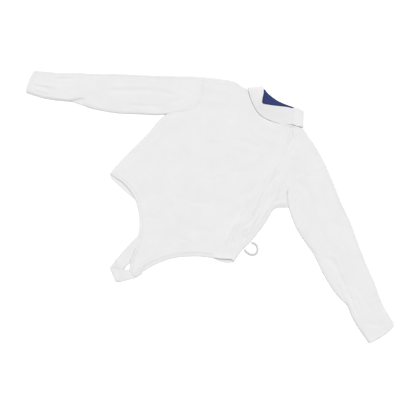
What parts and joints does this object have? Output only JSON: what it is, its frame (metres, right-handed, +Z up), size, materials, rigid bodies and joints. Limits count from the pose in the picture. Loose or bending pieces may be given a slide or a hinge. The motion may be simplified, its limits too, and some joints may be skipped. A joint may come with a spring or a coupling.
{
  "type": "fencing jacket",
  "caption": "White front-closing fencing jacket laid flat on its back, with stand collar, long sleeves, crotch point and folded strap.",
  "frame": {"origin": "middle of the laid-out jacket's outline, on the surface it lies on", "axes": "+X towards the wearer's left sleeve, +Y from the hem to the collar, +Z up out of the jacket's front"},
  "size_m": [1.544, 0.8735, 0.0162],
  "materials": {
    "white_twill": "matte, tightly woven cotton twill",
    "blue_lining": "matte plain weave",
    "white_tape": "matte ribbed tape",
    "white_elastic": "matte braided elastic"
  },
  "bodies": {
    "root": {"back_panel": "white_twill", "front_panel": "white_twill", "side_front_panel": "white_twill", "right_sleeve": "white_twill", "left_sleeve": "white_twill", "collar": "white_twill", "collar_lining": "blue_lining", "zip_tape": "white_tape", "crotch_strap": "white_twill", "elastic_loop": "white_elastic"}
  },
  "joints": []
}
